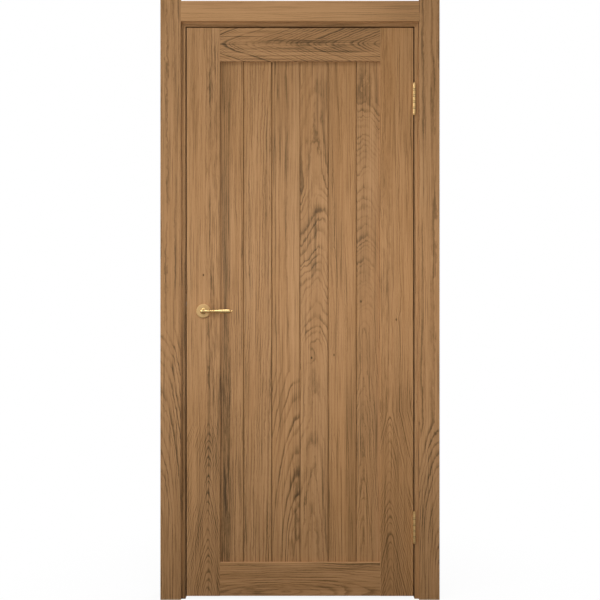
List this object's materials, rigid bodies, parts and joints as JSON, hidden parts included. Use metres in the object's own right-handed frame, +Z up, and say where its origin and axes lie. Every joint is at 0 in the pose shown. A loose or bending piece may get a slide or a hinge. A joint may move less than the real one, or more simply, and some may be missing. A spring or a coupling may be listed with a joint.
{
  "type": "interior door with frame",
  "caption": "Oak interior door leaf with a boarded panel, hung on butt hinges in a rebated frame with casings, with a brass lever on a round rose and a sprung latch.",
  "frame": {"origin": "on the floor, midway between the jambs, at the middle of the leaf's thickness", "axes": "+X to the hinge side, -Y to the front that shows the hinge barrels, +Z up"},
  "size_m": [0.98, 0.148, 2.107],
  "materials": {
    "oak": "natural oak with a matt clear finish",
    "brass": "satin",
    "steel": "zinc plated",
    "rubber": "matt brown",
    "nylon": "matt black"
  },
  "bodies": {
    "frame": {"hinge_jamb": "oak", "lock_jamb": "oak", "head_jamb": "oak", "hinge_seal": "rubber", "lock_seal": "rubber", "head_seal": "rubber", "front_hinge_casing": "oak", "front_lock_casing": "oak", "front_head_casing": "oak", "back_hinge_casing": "oak", "back_lock_casing": "oak", "back_head_casing": "oak", "strike_plate": "brass", "strike_box": "nylon", "strike_screws": "brass", "jamb_screws": "steel", "upper_frame_plate": "brass", "lower_frame_plate": "brass", "hinge_pins": "brass", "hinge_tips": "brass", "hinge_bearings": "brass", "hinge_frame_screws": "brass"},
    "leaf": {"lock_stile": "oak", "hinge_stile": "oak", "top_rail": "oak", "bottom_rail": "oak", "plank_1": "oak", "plank_2": "oak", "plank_3": "oak", "plank_4": "oak", "plank_5": "oak", "plank_6": "oak", "upper_leaf_plate": "brass", "lower_leaf_plate": "brass", "hinge_leaf_screws": "brass", "latch_case": "steel", "latch_cover": "steel", "latch_faceplate": "brass", "latch_screws": "brass", "latch_spring": "steel", "front_rose": "brass", "back_rose": "brass", "front_rose_base": "nylon", "back_rose_base": "nylon", "rose_screws": "steel"},
    "handle": {"front_lever": "brass", "back_lever": "brass", "spindle": "steel", "latch_hub": "steel", "grub_screws": "steel"},
    "latch_bolt": {"latch_bolt": "brass"}
  },
  "joints": [
    {"name": "leaf_swing", "type": "hinge", "parent": "frame", "child": "leaf", "pos_m": [0.4015, -0.0265, 0], "axis": [0, 0, 1], "range_deg": [0, 170]},
    {"name": "lever_turn", "type": "hinge", "parent": "leaf", "child": "handle", "pos_m": [-0.34, 0, 1.013], "axis": [0, 1, 0], "range_deg": [0, 45], "stiffness_Nm_per_rad": 0.8, "springref_deg": -34.38},
    {"name": "latch_slide", "type": "slide", "parent": "leaf", "child": "latch_bolt", "axis": [1, 0, 0], "range_m": [0, 0.012], "deforming": ["latch_spring"]}
  ],
  "couplings": [
    {"joint": "latch_slide", "follows": "lever_turn", "m_per_rad": 0.015278}
  ]
}
